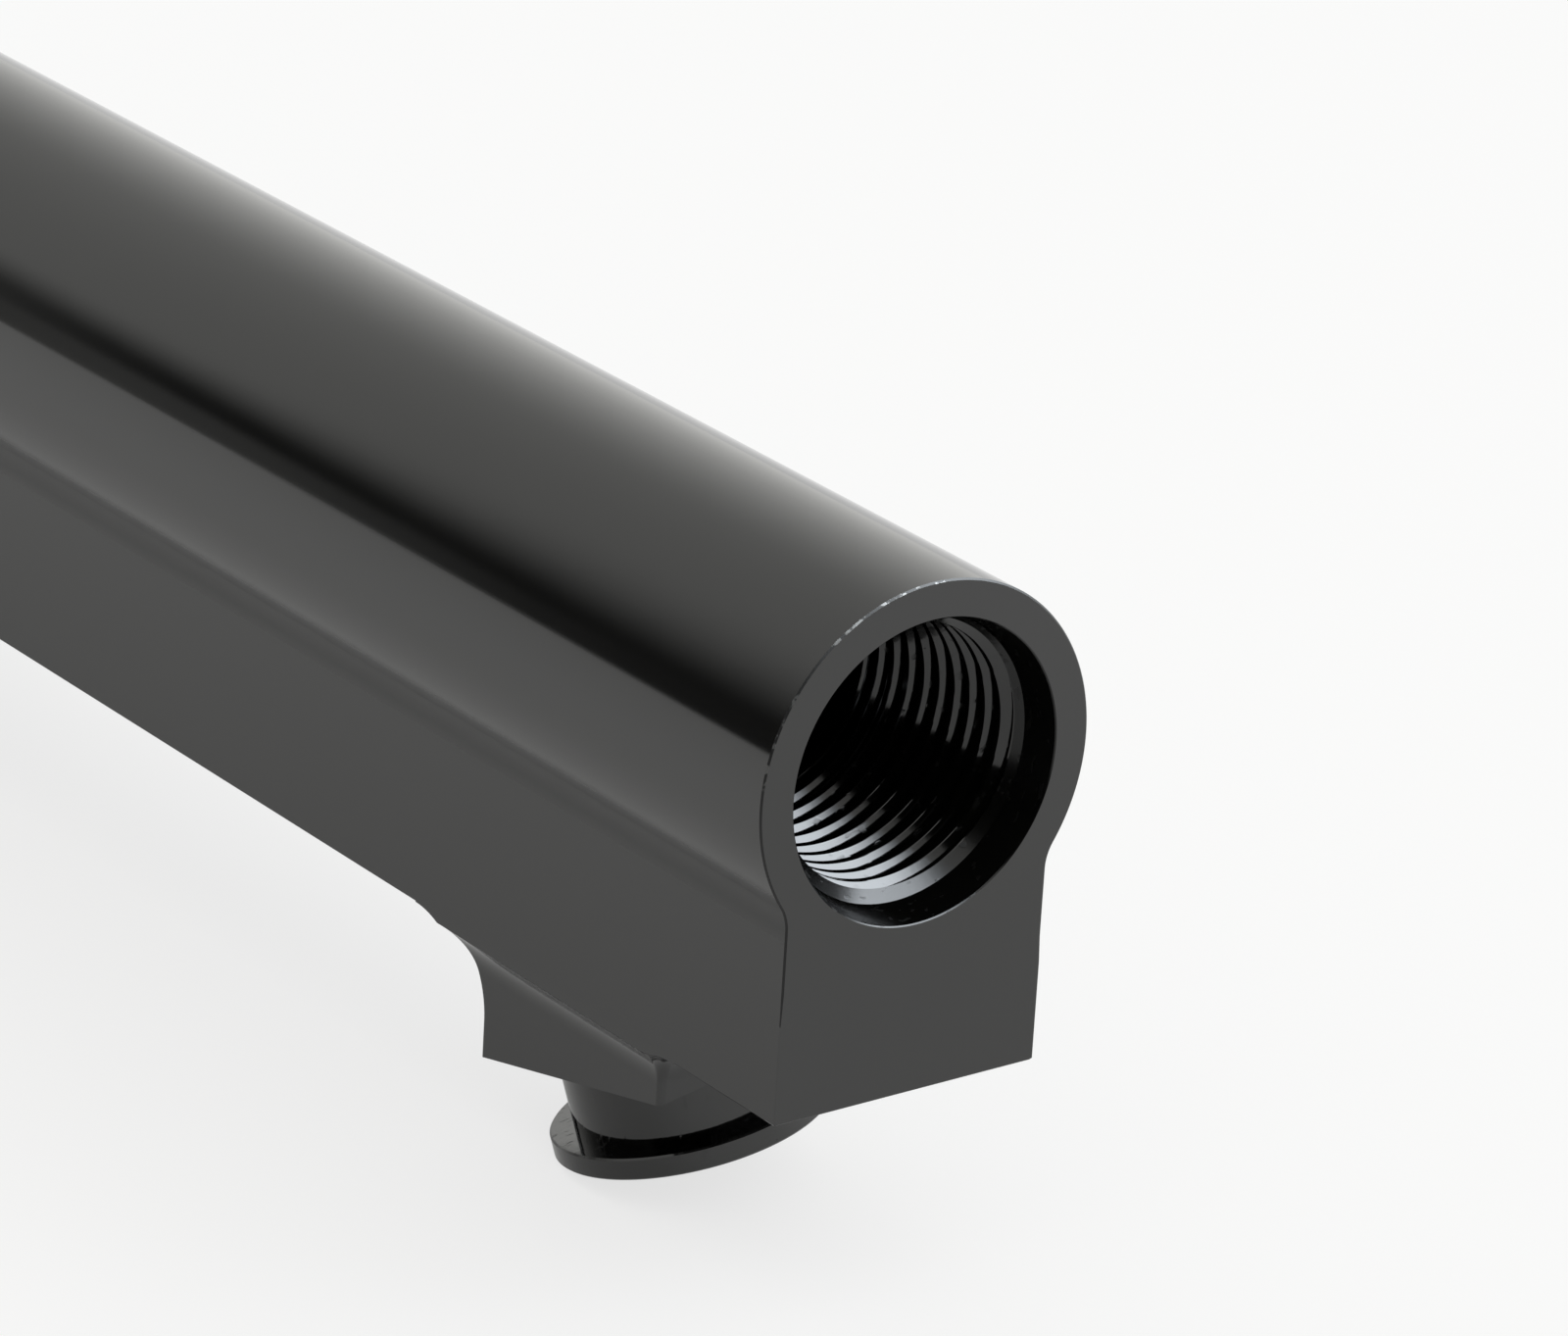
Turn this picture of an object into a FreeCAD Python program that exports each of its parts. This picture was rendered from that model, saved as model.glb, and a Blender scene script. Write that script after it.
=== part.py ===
import FreeCAD, Part
import os
from math import atan2, cos, degrees, pi, radians, sin, sqrt, tan

V = FreeCAD.Vector

# Bar section, mm. The row's origin is on the mounting face, halfway along the rail.
round_diameter = 25.4
foot_width = 20.32
axis_height = 21.8
neck_fillet = 3.2
passage_diameter = 17.46
end_break = 0.2

# Cylinders of the engine bank
boss_count = 4
boss_pitch = 111.76
end_to_boss = 23.6

# Injector boss below the mounting face
boss_length = 19.6
boss_width = 17.46
boss_drop = 5.1
boss_corner = 0.5
root_fillet = 3.175
back_fillet = 6.35

# Injector axis: lean towards +X along the bank and towards +Y across it
lean_along = 12.7
lean_across = 10.8
cup_offset = -0.67

# Injector cup
neck_diameter = 15.3
neck_length = 4.65
flange_diameter = 18.64
flange_thickness = 1.5
cup_bore = 13.5
cup_bore_depth = 11.0
cup_lead_in = 0.5
feed_diameter = 5.5
drill_point = 118.0

# O-ring boss port for a 3/4-16 fitting, with the thread drawn at its major diameter
thread_diameter = 19.05
thread_length = 16.5
seat_diameter = 20.4
seat_depth = 2.45
mouth_break = 0.2

# Tapped bracket holes in the mounting face
bracket_hole_diameter = 6.0
bracket_hole_depth = 8.5

# How far tools and joined pieces run past the face they start from
past = 1.0

rail_length = boss_pitch * (boss_count - 1) + 2 * end_to_boss
half_length = rail_length / 2
boss_x = [half_length - end_to_boss - boss_pitch * i for i in range(boss_count)]
injector_axis = V(tan(radians(lean_along)), tan(radians(lean_across)), -1).normalize()
passage_radius = passage_diameter / 2


def bar():
    """Keyhole section: a round carried by a straight-sided foot, with a hollow neck between them."""
    r = round_diameter / 2
    w = foot_width / 2
    reach = r + neck_fillet
    side = w + neck_fillet
    drop = sqrt(reach ** 2 - side ** 2)
    neck_z = axis_height - drop
    touch = V(0, side * r / reach, axis_height - drop * r / reach)
    turn = atan2(drop, side)
    middle = pi - turn / 2
    hollow = V(0, side + neck_fillet * cos(middle), neck_z + neck_fillet * sin(middle))
    seat = V(0, w, neck_z)
    foot = V(0, w, 0)

    def left(p):
        return V(p.x, -p.y, p.z)

    outline = [
        Part.Arc(left(touch), V(0, 0, axis_height + r), touch).toShape(),
        Part.Arc(touch, hollow, seat).toShape(),
        Part.makeLine(seat, foot),
        Part.makeLine(foot, left(foot)),
        Part.makeLine(left(foot), left(seat)),
        Part.Arc(left(seat), left(hollow), left(touch)).toShape(),
    ]
    face = Part.Face(Part.Wire(outline))
    face.translate(V(-half_length, 0, 0))
    body = face.extrude(V(rail_length, 0, 0))
    ends = []
    for edge in body.Edges:
        if abs(abs(edge.CenterOfMass.x) - half_length) < 1e-6:
            ends.append(edge)
    return body.makeChamfer(end_break, ends)


def milled(radius, depth, reach, width):
    """What a corner-radius cutter clears beside a wall at X = 0, from below up to Z = 0."""
    bend = V(radius * (1 - cos(pi / 4)), 0, -radius * (1 - sin(pi / 4)))
    outline = [
        Part.makeLine(V(0, 0, -depth), V(0, 0, -radius)),
        Part.Arc(V(0, 0, -radius), bend, V(radius, 0, 0)).toShape(),
        Part.makeLine(V(radius, 0, 0), V(reach, 0, 0)),
        Part.makeLine(V(reach, 0, 0), V(reach, 0, -depth)),
        Part.makeLine(V(reach, 0, -depth), V(0, 0, -depth)),
    ]
    face = Part.Face(Part.Wire(outline))
    face.translate(V(0, -width / 2, 0))
    return face.extrude(V(0, width, 0))


def milled_corner(depth, reach):
    """The same cutter going a quarter turn round a vertical corner at the origin, from +X to +Y."""
    r = boss_corner
    bend = V(r + root_fillet * (1 - cos(pi / 4)), 0, -root_fillet * (1 - sin(pi / 4)))
    outline = [
        Part.makeLine(V(r, 0, -depth), V(r, 0, -root_fillet)),
        Part.Arc(V(r, 0, -root_fillet), bend, V(r + root_fillet, 0, 0)).toShape(),
        Part.makeLine(V(r + root_fillet, 0, 0), V(reach, 0, 0)),
        Part.makeLine(V(reach, 0, 0), V(reach, 0, -depth)),
        Part.makeLine(V(reach, 0, -depth), V(r, 0, -depth)),
    ]
    face = Part.Face(Part.Wire(outline))
    return face.revolve(V(0, 0, 0), V(0, 0, 1), 90)


def boss_face(x, y):
    """Height of the boss's bottom face, square to the injector axis, measured from the boss centre."""
    a = injector_axis
    return -boss_drop - (a.x * x + a.y * y) / a.z


def boss():
    """Block under the bar with a tilted bottom face and milled fillets at its root, centred on X = 0."""
    front = boss_length / 2
    side = boss_width / 2
    w = foot_width / 2
    depth = past - boss_face(-front - back_fillet, -w)
    start = -front - back_fillet
    stock = Part.makeBox(boss_length + back_fillet + root_fillet, foot_width, depth + past, V(start, -w, -depth))
    clear = depth + past
    reach = boss_length + foot_width + back_fillet + root_fillet
    front_cut = milled(root_fillet, clear, reach, foot_width + 2 * past)
    front_cut.translate(V(front, 0, 0))
    back_cut = milled(back_fillet, clear, reach, foot_width + 2 * past)
    back_cut.rotate(V(0, 0, 0), V(0, 0, 1), 180)
    back_cut.translate(V(-front, 0, 0))
    cuts = [front_cut, back_cut]
    for turn in (90, -90):
        side_cut = milled(root_fillet, clear, reach, 2 * reach)
        side_cut.rotate(V(0, 0, 0), V(0, 0, 1), turn)
        sign = 1 if turn > 0 else -1
        side_cut.translate(V(0, sign * side, 0))
        corner = milled_corner(clear, reach)
        if sign < 0:
            corner.rotate(V(0, 0, 0), V(0, 0, 1), -90)
        corner.translate(V(front - boss_corner, sign * (side - boss_corner), 0))
        cuts += [side_cut, corner]
    block = stock.cut(cuts)
    below = Part.makeBox(2 * reach, 2 * reach, 2 * reach, V(-reach, -reach, -2 * reach))
    below.rotate(V(0, 0, 0), *turn_to(injector_axis))
    below.translate(V(0, 0, boss_face(0, 0)))
    return block.cut(below)


def turn_to(direction):
    """Axis and angle that turn a shape standing along -Z to the given direction."""
    turn = FreeCAD.Rotation(V(0, 0, -1), direction)
    return turn.Axis, degrees(turn.Angle)


def along_injector(shape, x, t):
    """Puts a shape drawn down -Z from its own origin on the injector axis, t below the boss's face."""
    shape.rotate(V(0, 0, 0), *turn_to(injector_axis))
    shape.translate(V(x, cup_offset, boss_face(0, cup_offset)) + injector_axis * t)
    return shape


def turned(points):
    """Revolves an outline of (radius, z) points about Z."""
    wire = Part.makePolygon([V(r, 0, z) for r, z in points + points[:1]])
    return Part.Face(wire).revolve(V(0, 0, 0), V(0, 0, 1), 360)


def cup():
    """Turned cup on the boss: a neck and the flange that the injector's clip holds."""
    neck = neck_diameter / 2
    flange = flange_diameter / 2
    root = neck_diameter / 4
    end = neck_length + flange_thickness
    outline = [(0, root), (neck, root), (neck, -neck_length), (flange, -neck_length), (flange, -end), (0, -end)]
    return along_injector(turned(outline), 0, 0)


def cup_hole():
    """Bore for the injector's O-ring with its lead-in, drill point and the feed up to the passage."""
    bore = cup_bore / 2
    feed = feed_diameter / 2
    mouth = bore + cup_lead_in
    lead = 2 * cup_lead_in
    cone = (bore - feed) / tan(radians(drill_point / 2))
    shoulder = cup_bore_depth + cone
    face = V(0, cup_offset, boss_face(0, cup_offset)) + injector_axis * (neck_length + flange_thickness)
    up = -injector_axis
    square = up.y ** 2 + up.z ** 2
    to_axis = (-face.y * up.y + (axis_height - face.z) * up.z) / square
    outline = [(0, -past), (mouth, -past), (mouth, 0), (bore, lead), (bore, cup_bore_depth), (feed, shoulder),
               (feed, to_axis), (0, to_axis)]
    return along_injector(turned(outline), 0, neck_length + flange_thickness)


def port():
    """Port at the +X end: broken mouth, O-ring seat, thread and its run-out into the passage."""
    seat = seat_diameter / 2
    thread = thread_diameter / 2
    bottom = seat_depth + thread_length
    run_out = bottom + thread - passage_radius
    outline = [(0, past), (seat + mouth_break, past), (seat + mouth_break, 0), (seat, -mouth_break),
               (thread, -seat_depth), (thread, -bottom), (passage_radius, -run_out), (0, -run_out)]
    shape = turned(outline)
    shape.rotate(V(0, 0, 0), V(0, 1, 0), 90)
    shape.translate(V(half_length, 0, axis_height))
    return shape


def bracket_hole():
    """Blind hole in the mounting face with its drill point."""
    r = bracket_hole_diameter / 2
    tip = bracket_hole_depth + r / tan(radians(drill_point / 2))
    return turned([(0, -past), (r, -past), (r, bracket_hole_depth), (0, tip)])


rail = bar()
one_boss = boss().fuse(cup())
bosses = []
holes = []
for x in boss_x:
    copy = one_boss.copy()
    copy.translate(V(x, 0, 0))
    bosses.append(copy)
    hole = cup_hole()
    hole.translate(V(x, 0, 0))
    holes.append(hole)
rail = rail.fuse(bosses).removeSplitter()

passage = Part.makeCylinder(passage_radius, rail_length + 2 * past, V(-half_length - past, 0, axis_height), V(1, 0, 0))
near_port = port()
far_port = port()
far_port.rotate(V(0, 0, 0), V(0, 0, 1), 180)
holes += [passage, near_port, far_port]
for i in (0, boss_count - 2):
    hole = bracket_hole()
    hole.translate(V((boss_x[i] + boss_x[i + 1]) / 2, 0, 0))
    holes.append(hole)
for hole in holes:
    rail = rail.cut(hole)
rail = rail.removeSplitter()

os.makedirs("parts", exist_ok=True)
solid = rail.Solids[0]
solid.exportStep("parts/fuel_rail.step")
box = solid.BoundBox
print("valid", rail.isValid(), "solids", len(rail.Solids), "volume", round(rail.Volume, 1))
print("box", [round(v, 3) for v in (box.XMin, box.XMax, box.YMin, box.YMax, box.ZMin, box.ZMax)])
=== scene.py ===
import math

import bpy
import numpy as np
from bpy.props import FloatProperty, FloatVectorProperty, IntProperty, PointerProperty
from mathutils import Matrix, Vector


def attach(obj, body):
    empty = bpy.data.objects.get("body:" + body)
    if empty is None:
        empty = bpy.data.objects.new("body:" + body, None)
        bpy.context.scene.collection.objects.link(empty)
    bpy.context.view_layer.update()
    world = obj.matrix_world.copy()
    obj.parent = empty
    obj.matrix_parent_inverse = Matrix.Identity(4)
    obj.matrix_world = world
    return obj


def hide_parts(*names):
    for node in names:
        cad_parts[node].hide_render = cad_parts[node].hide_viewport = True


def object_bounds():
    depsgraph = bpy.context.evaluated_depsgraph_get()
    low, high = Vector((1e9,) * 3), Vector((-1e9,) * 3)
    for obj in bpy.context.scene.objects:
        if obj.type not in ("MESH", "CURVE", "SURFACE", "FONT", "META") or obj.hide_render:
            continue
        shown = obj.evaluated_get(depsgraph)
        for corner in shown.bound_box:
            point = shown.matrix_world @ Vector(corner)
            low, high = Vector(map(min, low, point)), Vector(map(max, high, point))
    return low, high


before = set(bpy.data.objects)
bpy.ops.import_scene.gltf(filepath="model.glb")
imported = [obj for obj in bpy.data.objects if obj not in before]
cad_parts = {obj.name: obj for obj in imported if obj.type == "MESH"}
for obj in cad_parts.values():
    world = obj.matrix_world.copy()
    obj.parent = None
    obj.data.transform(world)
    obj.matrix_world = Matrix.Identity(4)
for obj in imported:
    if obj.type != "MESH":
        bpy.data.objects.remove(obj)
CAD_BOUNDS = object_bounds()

bl_info = {
    "name": "Fuel rail",
    "version": (1, 0, 0),
    "blender": (4, 5, 0),
    "location": "View3D > Sidebar > Fuel rail",
    "description": "Dresses a machined fuel rail with its threads and edge breaks, its anodised finish and a studio",
    "category": "Object",
}

# Shapes are worked out in millimetres and put into the mesh in metres
MM = 0.001

# Finishes of the rail's surfaces, in the order of their materials
FINISHES = ["drawn", "milled", "turned", "bored", "seat", "edge"]

# Depth of an internal 60 degree thread in pitches, and half the angle of a drill's point
THREAD_DEPTH = 0.54127
DRILL_POINT = math.radians(59)

# How far cutters reach past the face that they start from
PAST = 1.0


def distance(name, description, default):
    """A length property in metres."""
    return FloatProperty(name=name, description=description, default=default, unit="LENGTH", subtype="DISTANCE",
                         precision=5)


def angle(name, description, default):
    """An angle property, given in degrees and kept in radians."""
    return FloatProperty(name=name, description=description, default=math.radians(default), subtype="ANGLE")


class RailBar(bpy.types.PropertyGroup):
    """Section and length of the bar and the passage drilled through it."""

    round_diameter: distance("Round", "Diameter of the bar's round", 0.0254)
    foot_width: distance("Foot width", "Width of the straight-sided foot", 0.02032)
    axis_height: distance("Axis height", "Height of the passage above the underside", 0.0218)
    neck_fillet: distance("Neck fillet", "Radius between the round and the foot", 0.0032)
    passage_diameter: distance("Passage", "Diameter of the drilled passage", 0.01746)
    boss_pitch: distance("Pitch", "Distance between neighbouring injectors", 0.11176)
    end_to_boss: distance("End to boss", "From an end of the bar to the nearest boss", 0.0236)
    boss_count: IntProperty(name="Injectors", description="Number of injector bosses", default=4, min=1)
    end_break: distance("End break", "Edge break round both ends", 0.00012)
    break_high: distance("Break runs out", "Height where the ends' edge break starts to run out", 0.009)
    break_low: distance("Break stops", "Height below which the ends' edges are left sharp", 0.0068)
    foot_break: distance("Foot break", "Edge break along the underside", 0.0001)


class RailBoss(bpy.types.PropertyGroup):
    """Injector boss under the bar with its turned cup."""

    length: distance("Length", "Length of the block along the bar", 0.0196)
    width: distance("Width", "Width of the block across the bar", 0.01746)
    drop: distance("Drop", "From the underside to the middle of the block's face", 0.0051)
    corner: distance("Corner", "Radius of the block's front corners", 0.0005)
    root_fillet: distance("Root fillet", "Radius milled at the block's root", 0.003175)
    back_fillet: distance("Back fillet", "Radius milled at the root of the block's back", 0.00635)
    lean_along: angle("Lean along", "Lean of the injector along the bar", 12.7)
    lean_across: angle("Lean across", "Lean of the injector across the bar", 10.8)
    cup_offset: distance("Cup offset", "Sideways place of the cup on the block's face", -0.00067)
    neck_diameter: distance("Neck", "Diameter of the cup's neck", 0.0153)
    neck_length: distance("Neck length", "Length of the cup's neck", 0.00465)
    flange_diameter: distance("Flange", "Diameter of the cup's flange", 0.01864)
    flange_thickness: distance("Flange thickness", "Thickness of the cup's flange", 0.0015)
    flange_break: distance("Flange break", "Edge break of the flange", 0.00012)
    bore: distance("Bore", "Diameter of the bore for the injector", 0.0135)
    bore_depth: distance("Bore depth", "Depth of the injector bore", 0.011)
    lead_in: distance("Lead-in", "Depth of the chamfer at the bore's mouth", 0.0005)
    feed: distance("Feed", "Diameter of the hole up to the passage", 0.0055)


class RailPort(bpy.types.PropertyGroup):
    """Threaded port at each end and the tapped holes in the underside."""

    thread_diameter: distance("Thread", "Major diameter of the port's thread", 0.01905)
    thread_pitch: distance("Pitch", "Pitch of the port's thread", 0.0015875)
    thread_length: distance("Thread length", "Length of full thread", 0.0165)
    thread_start: distance("Thread start", "Depth where the thread's grooves begin, which turns them", 0.00126)
    run_out: distance("Run-out", "Length over which the thread fades at its inner end", 0.0034)
    seat_diameter: distance("Seat", "Diameter of the O-ring seat at the face", 0.0203)
    seat_depth: distance("Seat depth", "Depth of the O-ring seat", 0.00245)
    mouth_break: distance("Mouth break", "Edge break round the port's mouth", 0.00008)
    start_step: distance("Start step", "Radius of the thread's start chamfer over that of the thread", 0.00006)
    hole_diameter: distance("Tapped hole", "Major diameter of the bracket holes", 0.006)
    hole_pitch: distance("Tapped hole pitch", "Thread pitch of the bracket holes", 0.001)
    hole_depth: distance("Tapped hole depth", "Depth of the bracket holes", 0.0085)
    hole_lead: distance("Tapped hole lead-in", "Chamfer at the mouth of the bracket holes", 0.00025)
    hole_run_out: distance("Tapped hole run-out", "Length over which the bracket holes' thread fades", 0.0012)
    hole_rest: distance("Tapped hole rest", "Length of plain hole past the bracket holes' thread", 0.0015)


class RailStudio(bpy.types.PropertyGroup):
    """Camera, floor and light."""

    azimuth: angle("Azimuth", "Direction of the camera round the rail, from +X towards +Y", -37.7385)
    elevation: angle("Elevation", "Height of the camera above the horizon", 21.8468)
    roll: angle("Roll", "Turn of the picture about the line of sight", 3.4826)
    place: FloatVectorProperty(name="Place", description="Place of the camera", subtype="TRANSLATION", unit="LENGTH",
                               size=3, precision=4, default=(0.551483, -0.290402, 0.213662))
    lens: FloatProperty(name="Lens", description="Focal length of the camera in millimetres", default=186.278)
    floor_shade: FloatProperty(name="Floor", description="Shade of the floor", default=0.93, min=0.0, max=1.0)
    floor_gap: distance("Floor gap", "Room between the rail and the floor", 0.00002)
    lamp_power: FloatProperty(name="Lamp", description="Power of the soft box", unit="POWER", default=1.5, min=0.0)
    lamp_size: distance("Lamp size", "Length of the soft box's sides", 0.5)
    lamp_place: FloatVectorProperty(name="Lamp place", description="Middle of the soft box", subtype="TRANSLATION",
                                    unit="LENGTH", size=3, default=(0.758, 0.725, 0.739))
    lamp_target: FloatVectorProperty(name="Lamp target", description="Where the soft box points", unit="LENGTH",
                                     subtype="TRANSLATION", size=3, default=(0.15, 0.0, 0.0))
    window: FloatVectorProperty(name="Window", description="Direction of the window", subtype="DIRECTION", size=3,
                                default=(0.49, 0.63, 0.60))
    window_level: FloatProperty(name="Window level", description="Brightness of the window's middle", default=12.0,
                                min=0.0)
    ceiling: FloatProperty(name="Ceiling", description="Brightness of the ceiling over the rail", default=0.78, min=0.0)
    horizon: FloatProperty(name="Horizon", description="Brightness of the room, as a share of the ceiling's",
                           default=0.06)
    wall: FloatProperty(name="Wall", description="How much the dim wall adds to the horizon", default=0.25, min=0.0)


class Laws:
    """Numbered normal laws of the surfaces that make up the rail, in millimetres."""

    def __init__(self):
        self.rows = []
        self.finishes = []
        self.finish = "drawn"

    def add(self, kind, origin=(0, 0, 0), axis=(0, 0, 1), a=0.0, b=0.0, c=0.0, finish=None):
        """Number of a new law; normals says what a, b and c mean for each kind."""
        self.rows.append((kind, np.array(origin, float), np.array(axis, float), a, b, c))
        self.finishes.append(finish or self.finish)
        return len(self.rows) - 1

    def plane(self, normal, finish=None):
        """Number of a new law with one normal everywhere."""
        n = np.array(normal, float)
        return self.add("plane", axis=n / np.linalg.norm(n), finish=finish)

    def moved(self, law, shift):
        """The same law after its solid is moved."""
        kind, origin, axis, a, b, c = self.rows[law]
        return self.add(kind, origin + shift, axis, a, b, c, self.finishes[law])

    def normals(self, points, law):
        """Unit normals at points on one law's surface.

        plane: n = axis; turned: n = a e_r + b axis; ring: n = b (p - ring of radius a); thread: gradient of
        r - f(x - lead turn / 2 pi) with slope a, sign b and lead c.
        """
        kind, origin, axis, a, b, c = self.rows[law]
        if kind == "plane":
            return np.tile(axis, (len(points), 1))
        d = points - origin
        along = d @ axis
        radial = d - along[:, None] * axis
        r = np.maximum(np.linalg.norm(radial, axis=1), 1e-6)[:, None]
        e = radial / r
        if kind == "turned":
            n = a * e + b * axis
        elif kind == "ring":
            n = b * (d - a * e)
        else:
            n = b * (e - a * axis + a * c / (2 * math.pi * r) * np.cross(axis, e))
        return n / np.maximum(np.linalg.norm(n, axis=1), 1e-9)[:, None]


LAWS = Laws()


class Solid:
    """A closed mesh in millimetres.

    corners runs through the vertex numbers of every face in turn, sizes holds each face's number of corners, and laws
    the number of its normal law.
    """

    def __init__(self, verts, corners, sizes, laws):
        self.verts = np.asarray(verts, float)
        self.corners = np.asarray(corners, np.int32)
        self.sizes = np.asarray(sizes, np.int32)
        self.laws = np.asarray(laws, np.int32)

    def starts(self):
        """Where each face begins in corners."""
        return np.cumsum(self.sizes, dtype=np.int32) - self.sizes

    def placed(self, matrix, shift):
        """Turned by a 3 x 3 matrix, then shifted; only for solids whose laws are already those of the new place."""
        return Solid(self.verts @ np.asarray(matrix).T + shift, self.corners, self.sizes, self.laws)

    def shifted(self, shift):
        """Moved copy with moved laws."""
        old, which = np.unique(self.laws, return_inverse=True)
        new = np.array([LAWS.moved(law, shift) for law in old])
        return Solid(self.verts + shift, self.corners, self.sizes, new[which])


def together(solids):
    """Solids that don't touch, as one."""
    bases = np.cumsum([0] + [len(s.verts) for s in solids[:-1]])
    return Solid(np.vstack([s.verts for s in solids]), np.concatenate([s.corners + b for s, b in zip(solids, bases)]),
                 np.concatenate([s.sizes for s in solids]), np.concatenate([s.laws for s in solids]))


def lofted(rings, laws, caps):
    """Closed solid through rings of equal length: faces (i, j) take laws[i, j], and the ends take the caps' laws."""
    k, n = rings.shape[:2]
    index = np.arange(k * n).reshape(k, n)
    beside = np.roll(index, -1, axis=1)
    quads = np.stack([index[:-1], beside[:-1], beside[1:], index[1:]], -1)
    corners = np.concatenate([quads.reshape(-1), index[0, ::-1], index[-1]])
    sizes = np.append(np.full((k - 1) * n, 4), [n, n])
    return outward(Solid(rings.reshape(-1, 3), corners, sizes, np.append(np.broadcast_to(laws, (k - 1, n)), caps)))


def outward(solid):
    """Turns the faces outwards if their signed volume, the sum of a . (b x c) over a fan in each face, is negative."""
    first = np.repeat(solid.starts(), solid.sizes)
    last = first + np.repeat(solid.sizes, solid.sizes) - 1
    here = np.arange(len(solid.corners))
    after = np.where(here == last, first, here + 1)
    a, b, c = (solid.verts[solid.corners[i]] for i in (first, here, after))
    if np.einsum("ij,ij->", a, np.cross(b, c)) < 0:
        solid.corners = solid.corners[first + last - here]
    return solid


def frame_of(axis):
    """Matrix whose third column is the axis."""
    z = np.array(axis, float) / np.linalg.norm(axis)
    x = np.cross([0.0, 1.0, 0.0], z)
    x /= np.linalg.norm(x)
    return np.stack([x, np.cross(z, x), z], 1)


def turned(outline, origin, axis, sign, count=192):
    """Revolved outline of (radius, height) points: p(u, t) = origin + r(u) (cos t x + sin t y) + h(u) axis.

    sign is 1 on a solid and -1 on a cutter, whose walls face into it.
    """
    m = frame_of(axis)
    t = np.linspace(0, 2 * math.pi, count, endpoint=False)
    r, h = np.array(outline, float).T
    rings = np.stack([r[:, None] * np.cos(t), r[:, None] * np.sin(t), np.repeat(h[:, None], count, axis=1)], -1)
    side = sign * np.sign(h[-1] - h[0])
    out = side * np.stack([np.diff(h), -np.diff(r)]) / np.hypot(np.diff(r), np.diff(h))
    laws = [LAWS.add("turned", origin, m[:, 2], a, b) for a, b in out.T]
    ends = [LAWS.plane(m[:, 2]), LAWS.plane(m[:, 2])]
    return lofted(rings, np.array(laws)[:, None], ends).placed(m, origin)


def prism(outline, low, high, matrix, shift, laws):
    """Outline of (x, z) points carried along y from low to high: p(u, v) = matrix (x(u), v, z(u)) + shift."""
    rings = np.stack([np.insert(outline, 1, y, axis=1) for y in (low, high)])
    ends = [LAWS.plane((0, 1, 0)), LAWS.plane((0, 1, 0))]
    return lofted(rings, laws, ends).placed(matrix, shift)


def arc(x, z, r, start, stop, count):
    """Points of an arc, (x + r cos t, z + r sin t), with t from start to stop in degrees."""
    t = np.radians(np.linspace(start, stop, count))
    return np.stack([x + r * np.cos(t), z + r * np.sin(t)], 1)


def threaded_rod(radius, pitch, start, stop, origin, axis, fade, count):
    """Cutter with a 60 degree thread: p(u, t) = origin + f(u) e_r(t) + (start + pitch (u + t / 2 pi)) axis.

    f runs from the root flat at radius down a flank to the crest flat, with its sharp corners eased. Over the last
    fade millimetres the depth runs out, as a tap leaves it.
    """
    # Root flat of an eighth of the pitch, flank at 30 degrees, and corners eased by a share of the pitch each way
    depth = THREAD_DEPTH * pitch
    flank = depth * math.tan(math.radians(30)) / pitch
    ease = 0.035
    eased = ease * pitch * math.tan(math.radians(60))
    half_root = 1 / 16
    phase = np.array([half_root - ease, half_root + ease, half_root + flank - ease, half_root + flank + ease])
    phase = np.append(phase, 1 - phase[::-1])
    height = np.array([radius, radius - eased, radius - depth + eased, radius - depth])
    height = np.append(height, height[::-1])
    m = len(phase)
    turns = math.ceil((stop - start) / pitch) + 1
    rows = m * turns
    u = (phase + np.arange(turns)[:, None]).reshape(-1)
    t = np.linspace(0, 2 * math.pi, count, endpoint=False)
    along = start + pitch * (u[:, None] + t / (2 * math.pi))
    # In the run-out the cutter's radius shrinks to well inside the drilled core
    deepest = 1.3 * depth
    run_out = np.clip((along - (stop - fade)) / fade, 0, 1) * deepest
    r = np.maximum(np.minimum(np.tile(height, turns)[:, None], radius - run_out), radius - deepest)
    grid = np.stack([r * np.cos(t), r * np.sin(t), along], -1).reshape(-1, 3)
    matrix = frame_of(axis)

    # Walls, the seam where a turn ends and the one above it begins, and the two ends, each a fan round a centre
    slopes = (np.roll(height, -1) - height) / ((np.roll(phase, -1) - phase) % 1 * pitch)
    steps = np.tile([LAWS.add("thread", origin, matrix[:, 2], slope, -1.0, pitch) for slope in slopes], turns)
    index = np.arange(rows * count).reshape(rows, count)
    walls = np.stack([index[:-1, :-1], index[1:, :-1], index[1:, 1:], index[:-1, 1:]], -1).reshape(-1, 4)
    seam = np.stack([index[:-m - 1, -1], index[1:-m, -1], index[m + 1:, 0], index[m:-1, 0]], -1)
    low = np.append(index[0], index[m:0:-1, 0])
    high = np.append(index[-1], index[-2:-2 - m:-1, -1])
    centre = np.full(len(low), rows * count)
    ends = np.stack([np.append(low, np.roll(high, -1)), np.append(np.roll(low, -1), high),
                     np.append(centre, centre + 1)], 1)
    grid = np.vstack([grid, [0, 0, start], [0, 0, along.max()]])
    corners = np.concatenate([walls.reshape(-1), seam.reshape(-1), ends.reshape(-1)])
    sizes = np.append(np.full(len(walls) + len(seam), 4), np.full(len(ends), 3))
    laws = np.concatenate([np.repeat(steps[:-1], count - 1), steps[:len(seam)], np.full(len(ends), LAWS.plane(axis))])
    return outward(Solid(grid, corners, sizes, laws)).placed(matrix, origin)


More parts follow.
